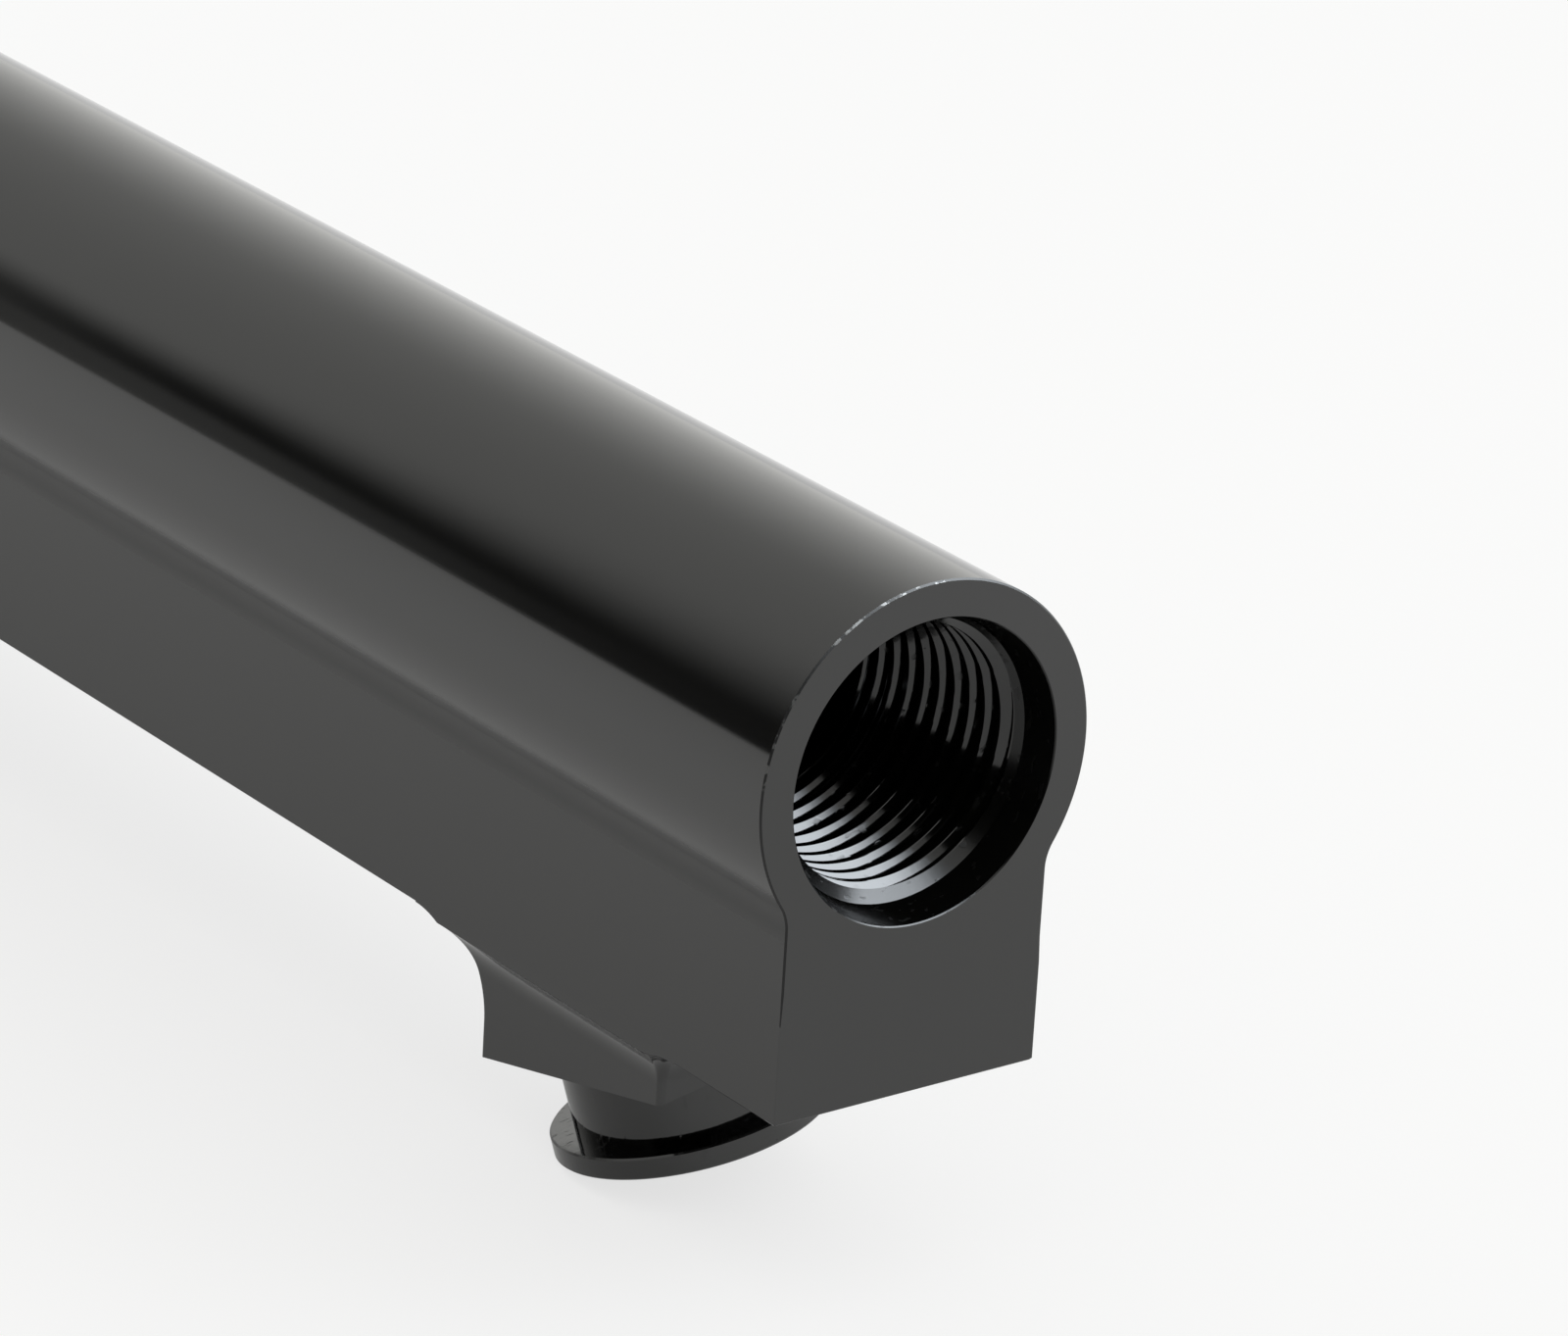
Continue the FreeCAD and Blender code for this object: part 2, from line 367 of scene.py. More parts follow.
def mesh_of(solid, name, scale=1.0):
    """Mesh with a solid's faces."""
    mesh = bpy.data.meshes.new(name)
    mesh.vertices.add(len(solid.verts))
    mesh.vertices.foreach_set("co", (solid.verts * scale).reshape(-1))
    mesh.loops.add(len(solid.corners))
    mesh.loops.foreach_set("vertex_index", solid.corners)
    mesh.polygons.add(len(solid.sizes))
    mesh.polygons.foreach_set("loop_start", solid.starts())
    mesh.update(calc_edges=True)
    return mesh


def object_of(mesh, name):
    """Object in the scene with a mesh."""
    obj = bpy.data.objects.new(name, mesh)
    bpy.context.scene.collection.objects.link(obj)
    return obj


def work_object(solid, name):
    """Object for a boolean step, with the laws in a face attribute."""
    mesh = mesh_of(solid, name)
    mesh.attributes.new("law", "INT", "FACE").data.foreach_set("value", solid.laws)
    return object_of(mesh, name)


def combined(body, tools, operation):
    """The body joined with or cut by each tool in turn."""
    base = work_object(body, "work")
    for tool in tools:
        other = work_object(tool, "tool")
        step = base.modifiers.new("step", "BOOLEAN")
        step.object, step.operation, step.solver = other, operation, "MANIFOLD"
        graph = bpy.context.evaluated_depsgraph_get()
        mesh = bpy.data.meshes.new_from_object(base.evaluated_get(graph))
        old = base.data
        base.modifiers.clear()
        base.data = mesh
        bpy.data.meshes.remove(old)
        remove(other)
    solid = solid_of(base.data)
    remove(base)
    return solid


def remove(obj):
    """Deletes an object and its mesh."""
    mesh = obj.data
    bpy.data.objects.remove(obj)
    bpy.data.meshes.remove(mesh)


def read(items, key, kind, width=1):
    """One property of all items as an array."""
    values = np.zeros(len(items) * width, kind)
    items.foreach_get(key, values)
    return values


def solid_of(mesh):
    """Solid with a mesh's faces."""
    verts = read(mesh.vertices, "co", np.float32, 3).reshape(-1, 3)
    corners = read(mesh.loops, "vertex_index", np.int32)
    sizes = read(mesh.polygons, "loop_total", np.int32)
    return Solid(verts, corners, sizes, read(mesh.attributes["law"].data, "value", np.int32))


def make_bar(bar):
    """The bar: its keyhole section carried along X, p(u, v) = (x(u), section(v) - inset(u) away(v)).

    The inset breaks the edges round both ends, down to where the foot's own are left sharp. The section goes from the
    top of the round down the far side and up the near side. Gives the solid and half its length.
    """
    r, w = bar.round_diameter / 2 / MM, bar.foot_width / 2 / MM
    fillet, height, brk = bar.neck_fillet / MM, bar.axis_height / MM, bar.foot_break / MM
    drop = math.sqrt((r + fillet) ** 2 - (w + fillet) ** 2)
    turn = math.degrees(math.atan2(drop, w + fillet))
    round_pts = arc(0, height, r, 90, -turn, 97)
    neck_pts = arc(w + fillet, height - drop, fillet, 180 - turn, 180, 13)
    foot_pts = [[w, bar.break_high / MM], [w, bar.break_low / MM], [w, brk], [w - brk, 0]]
    pts = np.vstack([round_pts, neck_pts[1:], foot_pts])
    sharp = 0.08
    away = np.vstack([(round_pts - [0, height]) / r, -(neck_pts[1:] - [w + fillet, height - drop]) / fillet,
                      [[1, 0], [sharp, 0], [0.05, -0.41], [0.02, -1]]])
    pts, away = (np.vstack([a, (a * [-1, 1])[:0:-1]]) for a in (pts, away))

    half = ((bar.boss_count - 1) * bar.boss_pitch / 2 + bar.end_to_boss) / MM
    e = bar.end_break / MM
    rings = np.stack([np.insert(pts - inset * away, 0, x, axis=1)
                      for x, inset in ((-half, e), (-half + e, 0), (half - e, 0), (half, e))])

    # Laws of the broken edge at one end, of the bar and of the other broken edge, from the top of the round to the foot
    counts = [len(round_pts) - 1, len(neck_pts) - 1, 2, 1, 1]
    laws = []
    for tip in (-1, 0, 1):
        s = math.sqrt(0.5) if tip else 1.0
        LAWS.finish = "edge" if tip else "drawn"
        far, near = ([LAWS.add("turned", (0, 0, height), (1, 0, 0), s, s * tip),
                      LAWS.add("turned", (0, side * (w + fillet), height - drop), (1, 0, 0), -s, s * tip),
                      LAWS.plane((tip, side, 0)), LAWS.plane((tip * sharp, side, 0), "drawn"),
                      LAWS.plane((tip, side * 0.7, -0.7))] for side in (1, -1))
        laws.append(np.repeat(far + [LAWS.plane((tip, 0, -1))] + near[::-1], counts + [1] + counts[::-1]))
    LAWS.finish = "milled"
    return lofted(rings, laws, [LAWS.plane((-1, 0, 0)), LAWS.plane((1, 0, 0))]), half


def turn_z(degrees):
    """Matrix of a turn about Z."""
    c, s = math.cos(math.radians(degrees)), math.sin(math.radians(degrees))
    return np.array([[c, -s, 0], [s, c, 0], [0, 0, 1]])


def milled(radius, depth, reach, width, matrix, shift, count=25):
    """What a corner-radius cutter clears beside a wall: a prism with one edge rounded to the radius."""
    curve = arc(radius, -radius, radius, 180, 90, count)
    outline = np.vstack([[[0, -depth]], curve, [[reach, 0], [reach, -depth]]])
    hollow = LAWS.add("turned", matrix @ [radius, 0, -radius] + shift, matrix @ [0.0, 1.0, 0.0], -1.0, 0.0)
    up = LAWS.plane((0, 0, -1))
    out = LAWS.plane(matrix @ [1.0, 0.0, 0.0])
    return prism(outline, -width / 2, width / 2, matrix, shift, [out] + [hollow] * (count - 1) + [up, out, up])


def milled_corner(boss, depth, reach, start, shift, count=25, steps=25):
    """The same cutter going a quarter turn round a vertical corner: p(u, t) = shift + r(u) (cos t, sin t) + z(u)."""
    c, r = boss.corner / MM, boss.root_fillet / MM
    x, z = np.vstack([[[c, -depth]], arc(c + r, -r, r, 180, 90, count), [[reach, 0], [reach, -depth]]]).T
    t = np.radians(np.linspace(start, start + 90, steps))[:, None]
    rings = np.stack([x * np.cos(t), x * np.sin(t), np.tile(z, (steps, 1))], -1)
    wall = LAWS.add("turned", shift, (0, 0, 1), 1.0, 0.0)
    hollow = LAWS.add("ring", np.array(shift) - [0, 0, r], (0, 0, 1), c + r, -1.0)
    up = LAWS.plane((0, 0, -1))
    return lofted(rings, [wall] + [hollow] * (count - 1) + [up, up, up], [up, up]).placed(np.eye(3), shift)


def block(outline, low, high, laws, ends):
    """Outline of (x, y) points carried up from low to high: p(u, v) = (x(u), y(u), v)."""
    return lofted(np.stack([np.insert(np.array(outline, float), 2, z, axis=1) for z in (low, high)]), laws, ends)


def half_space(normal, point, size=80.0):
    """A big block standing on a plane; taken away, it leaves that plane with the normal."""
    law = LAWS.plane(normal)
    square = [[-size, -size], [size, -size], [size, size], [-size, size]]
    return block(square, 0.0, size, law, [law, law]).placed(frame_of(normal), point)


def injector_axis(boss):
    """Direction of the injector, down and leaning both ways: (tan along, tan across, -1) made one long."""
    a = np.array([math.tan(boss.lean_along), math.tan(boss.lean_across), -1.0])
    return a / np.linalg.norm(a)


def make_boss(boss, bar):
    """Block with milled root fillets and a tilted face, centred on X = 0 under Z = 0."""
    front, side = boss.length / 2 / MM, boss.width / 2 / MM
    root, back, c = boss.root_fillet / MM, boss.back_fillet / MM, boss.corner / MM
    w = bar.foot_width / 2 / MM
    # Deeper than the lowest corner of the tilted face
    depth = 14.0
    lo, hi = -front - back, front + root
    walls = [LAWS.plane((0, -1, 0)), LAWS.plane((1, 0, 0)), LAWS.plane((0, 1, 0)), LAWS.plane((-1, 0, 0))]
    stock = block([[lo, -w], [hi, -w], [hi, w], [lo, w]], -depth, PAST, walls,
                  [LAWS.plane((0, 0, -1)), LAWS.plane((0, 0, 1))])
    reach, clear = 45.0, depth + PAST
    cuts = [milled(root, clear, reach, 3 * w, np.eye(3), (front, 0, 0)),
            milled(back, clear, reach, 3 * w, turn_z(180), (-front, 0, 0), 41),
            milled(root, clear, reach, 2 * reach, turn_z(90), (0, side, 0)),
            milled(root, clear, reach, 2 * reach, turn_z(-90), (0, -side, 0)),
            milled_corner(boss, clear, reach, 0, (front - c, side - c, 0)),
            milled_corner(boss, clear, reach, -90, (front - c, -side + c, 0)),
            half_space(injector_axis(boss), (0, 0, -boss.drop / MM))]
    return combined(stock, cuts, "DIFFERENCE")


def cup_face(boss):
    """Where the injector axis meets the block's tilted face."""
    a = injector_axis(boss)
    y = boss.cup_offset / MM
    return np.array([0, y, -boss.drop / MM - a[1] * y / a[2]])


def make_cup(boss, root=3.0):
    """Neck and flange, turned about the injector axis; heights run down it from the block's face.

    The neck starts root millimetres inside the block.
    """
    neck, flange = boss.neck_diameter / 2 / MM, boss.flange_diameter / 2 / MM
    length = boss.neck_length / MM
    end = length + boss.flange_thickness / MM
    e = boss.flange_break / MM
    outline = [(neck, -root), (neck, length), (flange - e, length), (flange, length + e), (flange, end - e),
               (flange - e, end)]
    return turned(outline, cup_face(boss), injector_axis(boss), 1, 224)


def make_cup_hole(boss, bar):
    """Injector bore with its lead-in, the drill's point and the feed, which ends beside the passage's axis."""
    a = injector_axis(boss)
    bore, feed = boss.bore / 2 / MM, boss.feed / 2 / MM
    lead, depth = boss.lead_in / MM, boss.bore_depth / MM
    face = cup_face(boss) + a * (boss.neck_length + boss.flange_thickness) / MM
    cone = depth + (bore - feed) / math.tan(DRILL_POINT)
    up = -a
    height = bar.axis_height / MM
    reach = (-face[1] * up[1] + (height - face[2]) * up[2]) / (up[1] ** 2 + up[2] ** 2)
    outline = [(bore + lead, PAST), (bore + lead, 0), (bore, -2 * lead), (bore, -depth), (feed, -cone), (feed, -reach)]
    return turned(outline, face, a, -1, 160)


def make_port(port, bar, half, end):
    """Cutter of one end's mouth, seat and start chamfer, and the cutter of its thread."""
    height = bar.axis_height / MM
    origin = (end * half, 0, height)
    seat, thread = port.seat_diameter / 2 / MM, port.thread_diameter / 2 / MM
    brk, depth = port.mouth_break / MM, port.seat_depth / MM
    start = thread + port.start_step / MM
    inside = bar.passage_diameter / 2 / MM - 0.05
    outline = [(seat + brk, PAST), (seat + brk, 0), (seat, -brk), (start, -depth), (inside, -depth - (start - inside))]
    LAWS.finish = "seat"
    mouth = turned(outline, origin, (end, 0, 0), -1, 224)
    LAWS.finish = "bored"
    rod = threaded_rod(thread, port.thread_pitch / MM, port.thread_start / MM, depth + port.thread_length / MM, origin,
                       (-end, 0, 0), port.run_out / MM, 192)
    return mouth, rod


def make_bracket_hole(port, x):
    """Cutter of a chamfered blind hole with its drill point, and the cutter of its thread."""
    thread, pitch = port.hole_diameter / 2 / MM, port.hole_pitch / MM
    depth, lead = port.hole_depth / MM, port.hole_lead / MM
    core = thread - THREAD_DEPTH * pitch
    tip = depth + core / math.tan(DRILL_POINT)
    small = 0.02
    inside = core - small
    outline = [(thread + lead, PAST), (thread + lead, 0), (inside, -(thread + lead - inside)), (inside, -depth),
               (small, -tip)]
    hole = turned(outline, (x, 0, 0), (0, 0, -1), -1, 96)
    rod = threaded_rod(thread, pitch, -0.9 * pitch, depth - port.hole_rest / MM, (x, 0, 0), (0, 0, 1),
                       port.hole_run_out / MM, 96)
    return hole, rod


def make_rail(bar, boss, port):
    """The whole rail as one solid."""
    body, half = make_bar(bar)
    LAWS.finish = "milled"
    stock = make_boss(boss, bar)
    LAWS.finish = "turned"
    one = combined(stock, [make_cup(boss)], "UNION")
    places = [half - (bar.end_to_boss + bar.boss_pitch * i) / MM for i in range(bar.boss_count)]
    body = combined(body, [together([one.shifted(np.array([x, 0, 0])) for x in places])], "UNION")
    LAWS.finish = "bored"
    hole = make_cup_hole(boss, bar)
    holes = together([hole.shifted(np.array([x, 0, 0])) for x in places])
    mouths, rods = zip(*[make_port(port, bar, half, end) for end in (1, -1)])
    bore, height = bar.passage_diameter / 2 / MM, bar.axis_height / MM
    passage = turned([(bore, -half - PAST), (bore, half + PAST)], (0, 0, height), (1, 0, 0), -1, 192)
    middles = [(places[0] + places[1]) / 2, (places[-2] + places[-1]) / 2]
    blinds, taps = zip(*[make_bracket_hole(port, x) for x in middles])
    tools = [passage, together(mouths), together(rods), holes, together(blinds), together(taps)]
    return combined(body, tools, "DIFFERENCE")


def finish_mesh(solid, name):
    """Object in metres with each corner's normal taken from its face's law."""
    mesh = mesh_of(solid, name, MM)
    mesh.polygons.foreach_set("use_smooth", np.ones(len(solid.sizes), bool))
    law = np.repeat(solid.laws, solid.sizes)
    places = solid.verts[solid.corners]
    normals = np.zeros(places.shape)
    for number in np.unique(law):
        at = law == number
        normals[at] = LAWS.normals(places[at], number)
    mesh.normals_split_custom_set(normals.tolist())
    slots = np.array([FINISHES.index(finish) for finish in LAWS.finishes], np.int32)
    mesh.polygons.foreach_set("material_index", slots[solid.laws])
    return object_of(mesh, name)


class Value:
    """A number in a shader that takes part in Python arithmetic by adding Math nodes."""

    def __init__(self, tree, socket):
        self.tree = tree
        self.socket = socket

    def maths(self, operation, *terms):
        """Adds one Math node over sockets and plain numbers."""
        node = self.tree.nodes.new("ShaderNodeMath")
        node.operation = operation
        for socket, term in zip(node.inputs, terms):
            if isinstance(term, Value):
                self.tree.links.new(term.socket, socket)
            else:
                socket.default_value = term
        return Value(self.tree, node.outputs[0])

    def __add__(self, other):
        return self.maths("ADD", self, other)

    __radd__ = __add__

    def __sub__(self, other):
        return self.maths("SUBTRACT", self, other)

    def __rsub__(self, other):
        return self.maths("SUBTRACT", other, self)

    def __mul__(self, other):
        return self.maths("MULTIPLY", self, other)

    __rmul__ = __mul__

    def most(self, other):
        """The greater of the two."""
        return self.maths("MAXIMUM", self, other)

    def least(self, other):
        """The smaller of the two."""
        return self.maths("MINIMUM", self, other)


class Nodes:
    """Adds nodes to one tree."""

    def __init__(self, tree):
        self.tree = tree

    def node(self, kind, settings=None, values=None, output=0):
        """Adds a node, sets its settings, feeds its sockets and gives one of its outputs."""
        node = self.tree.nodes.new("ShaderNode" + kind)
        for key, setting in (settings or {}).items():
            setattr(node, key, setting)
        for key, value in (values or {}).items():
            if isinstance(value, Value):
                self.tree.links.new(value.socket, node.inputs[key])
            else:
                node.inputs[key].default_value = value
        return Value(self.tree, node.outputs[output])

    def noise(self, place, scale, detail=2.0, rough=0.5):
        """Soft random pattern from 0 to 1, of scale grains to the metre."""
        return self.node("TexNoise", None, {"Vector": place, "Scale": scale, "Detail": detail, "Roughness": rough})

    def stretched(self, place, scale, turn=(0, 0, 0)):
        """The place turned and scaled, so that grains drawn on it grow long."""
        return self.node("Mapping", None, {"Vector": place, "Rotation": turn, "Scale": scale})

    def limited(self, value, low, high):
        """0 below low, 1 above high, smooth between."""
        return self.node("MapRange", {"interpolation_type": "SMOOTHSTEP"},
                         {"Value": value, "From Min": low, "From Max": high}, "Result")

    def split(self, vector, axes):
        """Parts of a vector along some of X, Y and Z."""
        return [self.node("SeparateXYZ", None, {"Vector": vector}, axis) for axis in axes]

    def along(self, vector, axis):
        """Length of a vector along a direction."""
        return self.node("VectorMath", {"operation": "DOT_PRODUCT"}, {0: vector, 1: axis}, "Value")

    def layered(self, under, over, share):
        """One shader over another by a share from 0 to 1."""
        return self.node("MixShader", None, {0: share, 1: under, 2: over})

    def blend(self, share, a, b):
        """Colour between a and b."""
        return self.node("Mix", {"data_type": "RGBA"}, {"Factor": share, 6: a, 7: b}, 2)


class Shader(Nodes):
    """Nodes of a new material."""

    def __init__(self, name):
        self.material = bpy.data.materials.new(name)
        self.material.use_nodes = True
        super().__init__(self.material.node_tree)
        self.tree.nodes.clear()
        self.out = self.tree.nodes.new("ShaderNodeOutputMaterial")

    def surface(self, value):
        """Ends the material with a shader."""
        self.tree.links.new(value.socket, self.out.inputs["Surface"])
        return self.material


def anodised(name, look, marks, gloss, ior, hollow=0.0):
    """Black anodised aluminium: a clear dyed skin over the tool marks that the function marks(shader, place) gives.

    The dye's tone drifts slowly along the part, pores speckle it finely, and roughness follows both; hollow adds to it
    in the bar's neck, where a die polishes less.
    """
    shader = Shader(name)
    place = shader.node("TexCoord", None, None, "Object")
    drift = shader.noise(place, 55.0, 3.0)
    pores = shader.noise(place, 4200.0, 2.0, 0.6)
    height, streak = marks(shader, place)
    tone = drift * 0.5 + pores * 0.2 + streak * 0.3
    dark = tuple(c * 0.84 for c in look.dye) + (1.0,)
    light = tuple(c * 1.16 for c in look.dye) + (1.0,)
    colour = shader.blend(shader.limited(tone, 0.3, 0.7), dark, light)
    z, = shader.split(place, "Z")
    # Between the heights where the foot's side begins to curve in and where the round has come out again
    neck = shader.limited(z, 0.0115, 0.0133) * shader.limited(z * -1.0, -0.0168, -0.0148)
    rough = (streak - 0.5) * 0.05 + (drift - 0.5) * 0.05 + (pores - 0.5) * 0.02 + look.roughness * gloss + neck * hollow
    bump = shader.node("Bump", None, {"Height": height + pores * 0.12, "Strength": look.marks, "Distance": 0.00002})
    surface = shader.node("BsdfPrincipled", None, {"Base Color": colour, "Roughness": rough, "Normal": bump,
                                                   "Metallic": 0.0, "IOR": ior})
    return shader.surface(surface)


def drawn_marks(shader, place):
    """Die lines of the extrusion, along the bar."""
    lines = shader.noise(shader.stretched(place, (3.0, 1500.0, 1500.0)), 1.0, 3.0, 0.6)
    broad = shader.noise(shader.stretched(place, (1.5, 260.0, 260.0)), 1.0, 2.0)
    return lines * 0.7 + broad * 0.3, broad


def milled_marks(shader, place):
    """Feed marks of the milling cutter, upright on every wall."""
    lines = shader.noise(shader.stretched(place, (1800.0, 1800.0, 40.0), (0.0, 0.35, 0.0)), 1.0, 2.0, 0.6)
    return lines, shader.noise(shader.stretched(place, (350.0, 350.0, 30.0)), 1.0, 2.0)


def turned_marks(shader, place):
    """Fine rings of the boring and threading tools, their chatter across them, and the flecks that a tap tears."""
    lines = shader.noise(shader.stretched(place, (2600.0, 120.0, 120.0)), 1.0, 2.0, 0.6)
    chatter = shader.noise(shader.stretched(place, (260.0, 1500.0, 1500.0)), 1.0, 1.0)
    flecks = shader.limited(shader.noise(shader.stretched(place, (2400.0, 1000.0, 1000.0)), 1.0, 1.0), 0.64, 0.7)
    return lines + chatter * 1.6 + flecks * 1.5, shader.noise(place, 420.0, 3.0) * 0.6 + chatter * 0.4 + flecks * 3.0


def worn_edge(look):
    """Anodised edge break, rubbed through to bright metal in short dashes on the upper near side of the round."""
    shader = Shader("worn_edge")
    place = shader.node("TexCoord", None, None, "Object")
    grain = shader.noise(place, 2600.0, 2.0, 0.6)
    runs = shader.noise(place, 1100.0, 1.0)
    y, z = shader.split(place, "YZ")
    # How far a place lies out towards the near side, 50 degrees up
    upper = shader.limited(z * 0.766 - y * 0.643, 0.0255, 0.0263)
    bare = shader.limited(grain * 0.45 + runs * 0.55, look.wear, look.wear + 0.06) * upper
    skin = tuple(look.dye) + (1.0,)
    colour = shader.blend(bare, skin, tuple(look.metal) + (1.0,))
    bump = shader.node("Bump", None, {"Height": grain, "Strength": look.marks, "Distance": 0.00004})
    surface = shader.node("BsdfPrincipled", None, {"Base Color": colour, "Roughness": 0.5,
                                                   "Metallic": bare, "Normal": bump, "IOR": 1.5})
    return shader.surface(surface)


class RailLook(bpy.types.PropertyGroup):
    """Colours and gloss of the finish."""

    dye: FloatVectorProperty(name="Dye", description="Colour of the anodised skin", subtype="COLOR", size=3,
                             default=(0.0022, 0.0022, 0.0020), min=0.0, max=1.0)
    metal: FloatVectorProperty(name="Bare metal", description="Colour where an edge is rubbed bright", subtype="COLOR",
                               size=3, default=(0.16, 0.16, 0.157), min=0.0, max=1.0)
    roughness: FloatProperty(name="Roughness", description="Roughness of the skin", default=0.1, min=0.0, max=1.0)
    ior: FloatProperty(name="IOR", description="Refractive index of the sealed skin", default=1.68, min=1.0, max=2.5)
    marks: FloatProperty(name="Tool marks", description="Strength of the tool marks", default=0.12, min=0.0, max=1.0)
    wear: FloatProperty(name="Wear", description="Where rubbed metal begins; lower is more worn", default=0.52)


def studio_floor(z, shade, size=4.0):
    """Flat floor: p(u, v) = (u, v, z).

    The camera sees it near white with the rail's shadow. Reflections see painted shade and light on it: painted black
    before the rail, in place of a table's edge in a dark room, a painted dim strip beside the rail, and painted
    brightness on the rail's far side.
    """
    mesh = bpy.data.meshes.new("floor")
    corners = np.array([[-size, -size, z], [size, -size, z], [size, size, z], [-size, size, z]])
    mesh.from_pydata(corners.tolist(), [], [(0, 1, 2, 3)])
    floor = object_of(mesh, "floor")
    shader = Shader("pale_floor")
    seen, mirrored, through = (shader.node("LightPath", None, None, "Is %s Ray" % kind)
                               for kind in ("Camera", "Glossy", "Transmission"))
    x, y = shader.split(shader.node("TexCoord", None, None, "Object"), "XY")
    # Painted light and shade that only reflections see: painted black past x = 0.39 m, a painted dim strip beside the
    # rail, and painted extra white on the rail's far side
    painted_black_past_end = shader.limited(x, 0.385, 0.395) * mirrored
    painted_dim_strip = shader.limited(y * 0.675 - x * 0.738, 0.045, 0.065) * shader.limited(y * -1.0, 0.12, 0.2) * mirrored
    painted_bright_far_side = shader.limited(y, 0.03, 0.12) * mirrored
    lit = seen * 0.7 + (mirrored + through) * 0.24 + painted_bright_far_side * 0.62
    matt = shader.node("BsdfDiffuse", None, {"Color": (shade, shade, shade, 1.0)})
    white = shader.node("Emission", None, {"Color": (1.0, 1.0, 1.0, 1.0), "Strength": 1.03})
    # Painted dim emission and painted black, layered over the floor only where reflections see them
    dim = shader.node("Emission", None, {"Color": (0.25, 0.25, 0.24, 1.0), "Strength": 1.0})
    dark = shader.node("BsdfDiffuse", None, {"Color": (0.0, 0.0, 0.0, 1.0)})
    surface = shader.layered(shader.layered(shader.layered(matt, white, lit), dim, painted_dim_strip), dark, painted_black_past_end)
    mesh.materials.append(shader.surface(surface))
    return floor


def studio_world(studio):
    """White ceiling and backdrop over a dark room, with a soft window that only reflections see.

    The ceiling comes down to the horizon on the far side. On the camera's side it fades above a darker strip and a
    dim wall, the sooner the less its reflection runs along the rail. The room stays dark round the camera. The camera
    itself sees plain white.
    """
    world = bpy.data.worlds.new("studio")
    world.use_nodes = True
    sky = Nodes(world.node_tree)
    seen, mirrored = (sky.node("LightPath", None, None, "Is %s Ray" % kind) for kind in ("Camera", "Glossy"))
    direction = sky.node("TexCoord", None, None, "Generated")
    x, y, z = sky.split(direction, "XYZ")
    facing = sky.along(direction, (math.cos(studio.azimuth), math.sin(studio.azimuth), 0.0))

    # Where the ceiling or the backdrop is, and how bright: more over the far side and over the rail's ports
    full = sky.limited(x, -0.805, -0.73) * 0.3 + 0.36
    ceiling = sky.limited(z, 0.16, full)
    backdrop = sky.limited(facing * -1.0, 0.3, 0.7)
    level = sky.limited(y, 0.15, 0.78) * 0.5 + sky.limited(x, 0.2, 0.6) * 0.6 * mirrored + studio.ceiling

    # The room under it: a horizon, a dim wall that the side of the foot mirrors, and the dark round the camera
    low = sky.limited(z * -1.0, -0.14, -0.06) * sky.limited(x * -1.0, 0.745, 0.785)
    dim = low.most(sky.limited(x * -1.0, 0.79, 0.81)) * studio.wall + studio.horizon
    lit = ceiling.most(backdrop) * (1.0 - dim) + dim
    room = 1.0 - sky.limited(facing, 0.7, 0.74) * mirrored

    # The window is blue and the ceiling warm; both give way to white where the camera looks
    window = sky.limited(sky.along(direction, tuple(Vector(studio.window).normalized())), 0.76, 0.965)
    glare = window * mirrored * studio.window_level
    colour = sky.blend(glare.least(1.0), (1.0, 1.0, 0.97, 1.0), (0.88, 0.94, 1.0, 1.0))
    colour = sky.blend(seen, colour, (1.0, 1.0, 1.0, 1.0))
    strength = seen + (1.0 - seen) * (lit * level * room + glare)
    background = world.node_tree.nodes["Background"]
    world.node_tree.links.new(colour.socket, background.inputs["Color"])
    world.node_tree.links.new(strength.socket, background.inputs["Strength"])
    return world


def soft_lamp(name, place, target, size, power):
    """Soft box aimed at a point, whose reflection is the world's window."""
    lamp = bpy.data.lights.new(name, "AREA")
    lamp.shape = "SQUARE"
    lamp.size = size
    lamp.energy = power
    lamp.color = (0.82, 0.91, 1.0)
    obj = bpy.data.objects.new(name, lamp)
    obj.location = place
    obj.rotation_euler = (Vector(target) - Vector(place)).to_track_quat("-Z", "Y").to_euler()
    obj.visible_glossy = False
    bpy.context.scene.collection.objects.link(obj)
    return obj


class OBJECT_OT_fuel_rail(bpy.types.Operator):
    """Build the machined rail with its threads and edge breaks over the plain solid"""

    bl_idname = "object.fuel_rail"
    bl_label = "Fuel rail"

    def execute(self, context):
        scene = context.scene
        LAWS.finish = "drawn"
        solid = make_rail(scene.rail_bar, scene.rail_boss, scene.rail_port)
        if not len(solid.sizes):
            raise RuntimeError("The rail came out empty")
        rail = finish_mesh(solid, "machined_rail")
        look = scene.rail_look
        # In the order of FINISHES
        for finish in (anodised("drawn_black", look, drawn_marks, 1.0, look.ior, 0.3),
                       anodised("milled_black", look, milled_marks, 1.0, look.ior + 0.01),
                       anodised("turned_black", look, turned_marks, 0.8, look.ior - 0.01),
                       anodised("bored_black", look, turned_marks, 0.8, look.ior - 0.13),
                       anodised("seat_black", look, turned_marks, 2.0, look.ior - 0.3), worn_edge(look)):
            rail.data.materials.append(finish)
        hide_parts("fuel_rail")
        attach(rail, "root")
        return {"FINISHED"}


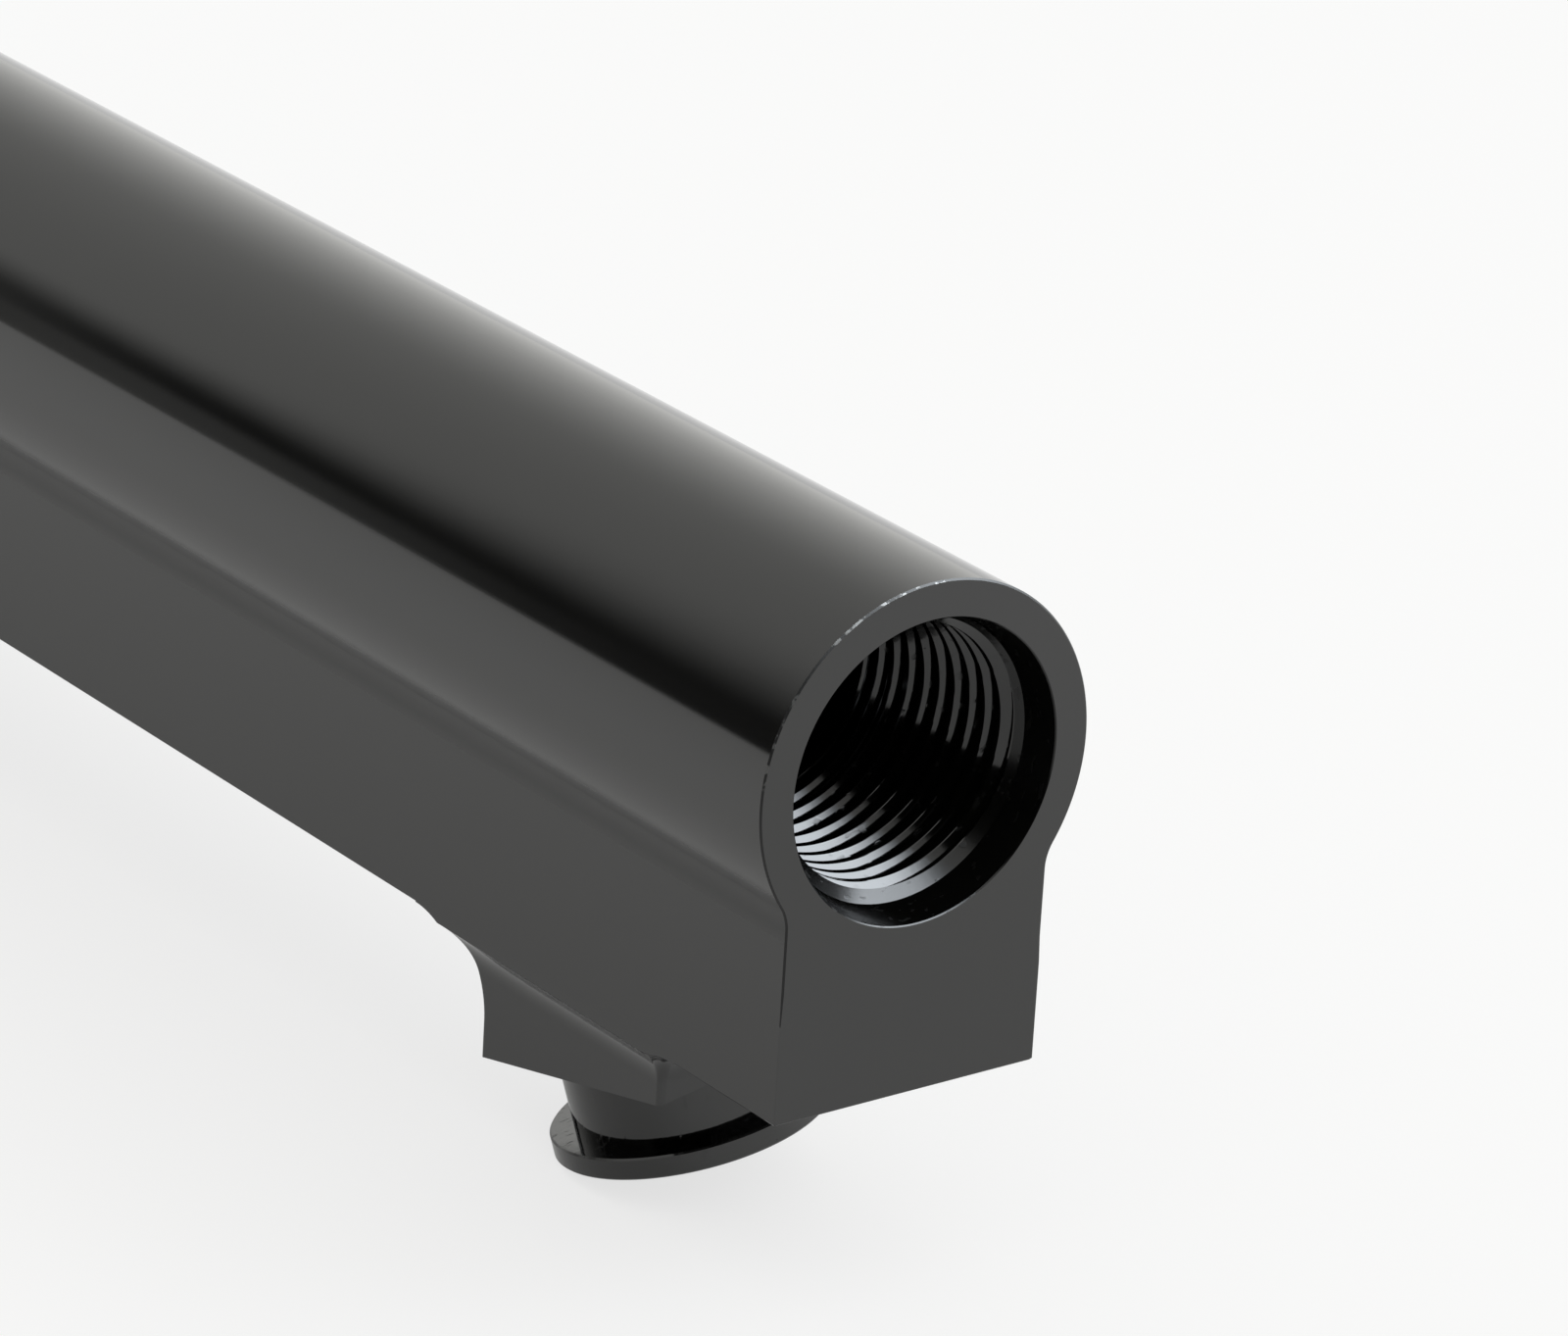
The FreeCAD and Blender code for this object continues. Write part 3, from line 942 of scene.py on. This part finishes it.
class OBJECT_OT_fuel_rail_studio(bpy.types.Operator):
    """Set up the floor, the light and the camera"""

    bl_idname = "object.fuel_rail_studio"
    bl_label = "Studio"

    def execute(self, context):
        scene = context.scene
        studio = scene.rail_studio
        studio_floor(CAD_BOUNDS[0][2] - studio.floor_gap, studio.floor_shade)
        soft_lamp("side_box", studio.lamp_place, studio.lamp_target, studio.lamp_size, studio.lamp_power)
        az, el, roll = studio.azimuth, studio.elevation, studio.roll
        back = Vector((math.cos(el) * math.cos(az), math.cos(el) * math.sin(az), math.sin(el)))
        scene.world = studio_world(studio)
        level = Vector((-math.sin(az), math.cos(az), 0.0))
        raised = back.cross(level)
        right = level * math.cos(roll) + raised * math.sin(roll)
        turn = Matrix((right, back.cross(right), back)).transposed()
        camera = bpy.data.cameras.new("camera")
        camera.sensor_fit = "HORIZONTAL"
        camera.sensor_width = 36.0
        camera.lens = studio.lens
        camera.clip_start = 0.01
        obj = bpy.data.objects.new("camera", camera)
        obj.matrix_world = Matrix.Translation(studio.place) @ turn.to_4x4()
        scene.collection.objects.link(obj)
        scene.camera = obj
        scene.view_settings.view_transform = "Standard"
        return {"FINISHED"}


class VIEW3D_PT_fuel_rail(bpy.types.Panel):
    """Sizes and steps of the fuel rail"""

    bl_idname = "VIEW3D_PT_fuel_rail"
    bl_label = "Fuel rail"
    bl_space_type = "VIEW_3D"
    bl_region_type = "UI"
    bl_category = "Fuel rail"

    def draw(self, context):
        scene = context.scene
        for title, group in GROUPS:
            box = self.layout.box()
            box.label(text=title)
            settings = getattr(scene, group)
            for prop in settings.__annotations__:
                box.prop(settings, prop)
        self.layout.operator(OBJECT_OT_fuel_rail.bl_idname)
        self.layout.operator(OBJECT_OT_fuel_rail_studio.bl_idname)


GROUPS = (("Bar", "rail_bar"), ("Boss and cup", "rail_boss"), ("Ports", "rail_port"), ("Finish", "rail_look"),
          ("Studio", "rail_studio"))
CLASSES = (RailBar, RailBoss, RailPort, RailLook, RailStudio, OBJECT_OT_fuel_rail, OBJECT_OT_fuel_rail_studio,
           VIEW3D_PT_fuel_rail)


def register():
    """Adds the classes and hangs each group of settings on the scene."""
    for cls in CLASSES:
        bpy.utils.register_class(cls)
    for (title, group), kind in zip(GROUPS, (RailBar, RailBoss, RailPort, RailLook, RailStudio)):
        setattr(bpy.types.Scene, group, PointerProperty(type=kind, name=title, description=kind.__doc__))


def unregister():
    """Takes the settings and the classes away again."""
    for title, group in GROUPS:
        delattr(bpy.types.Scene, group)
    for cls in reversed(CLASSES):
        bpy.utils.unregister_class(cls)


def main():
    register()
    bpy.ops.object.fuel_rail()
    bpy.ops.object.fuel_rail_studio()


if __name__ == "__main__":
    main()
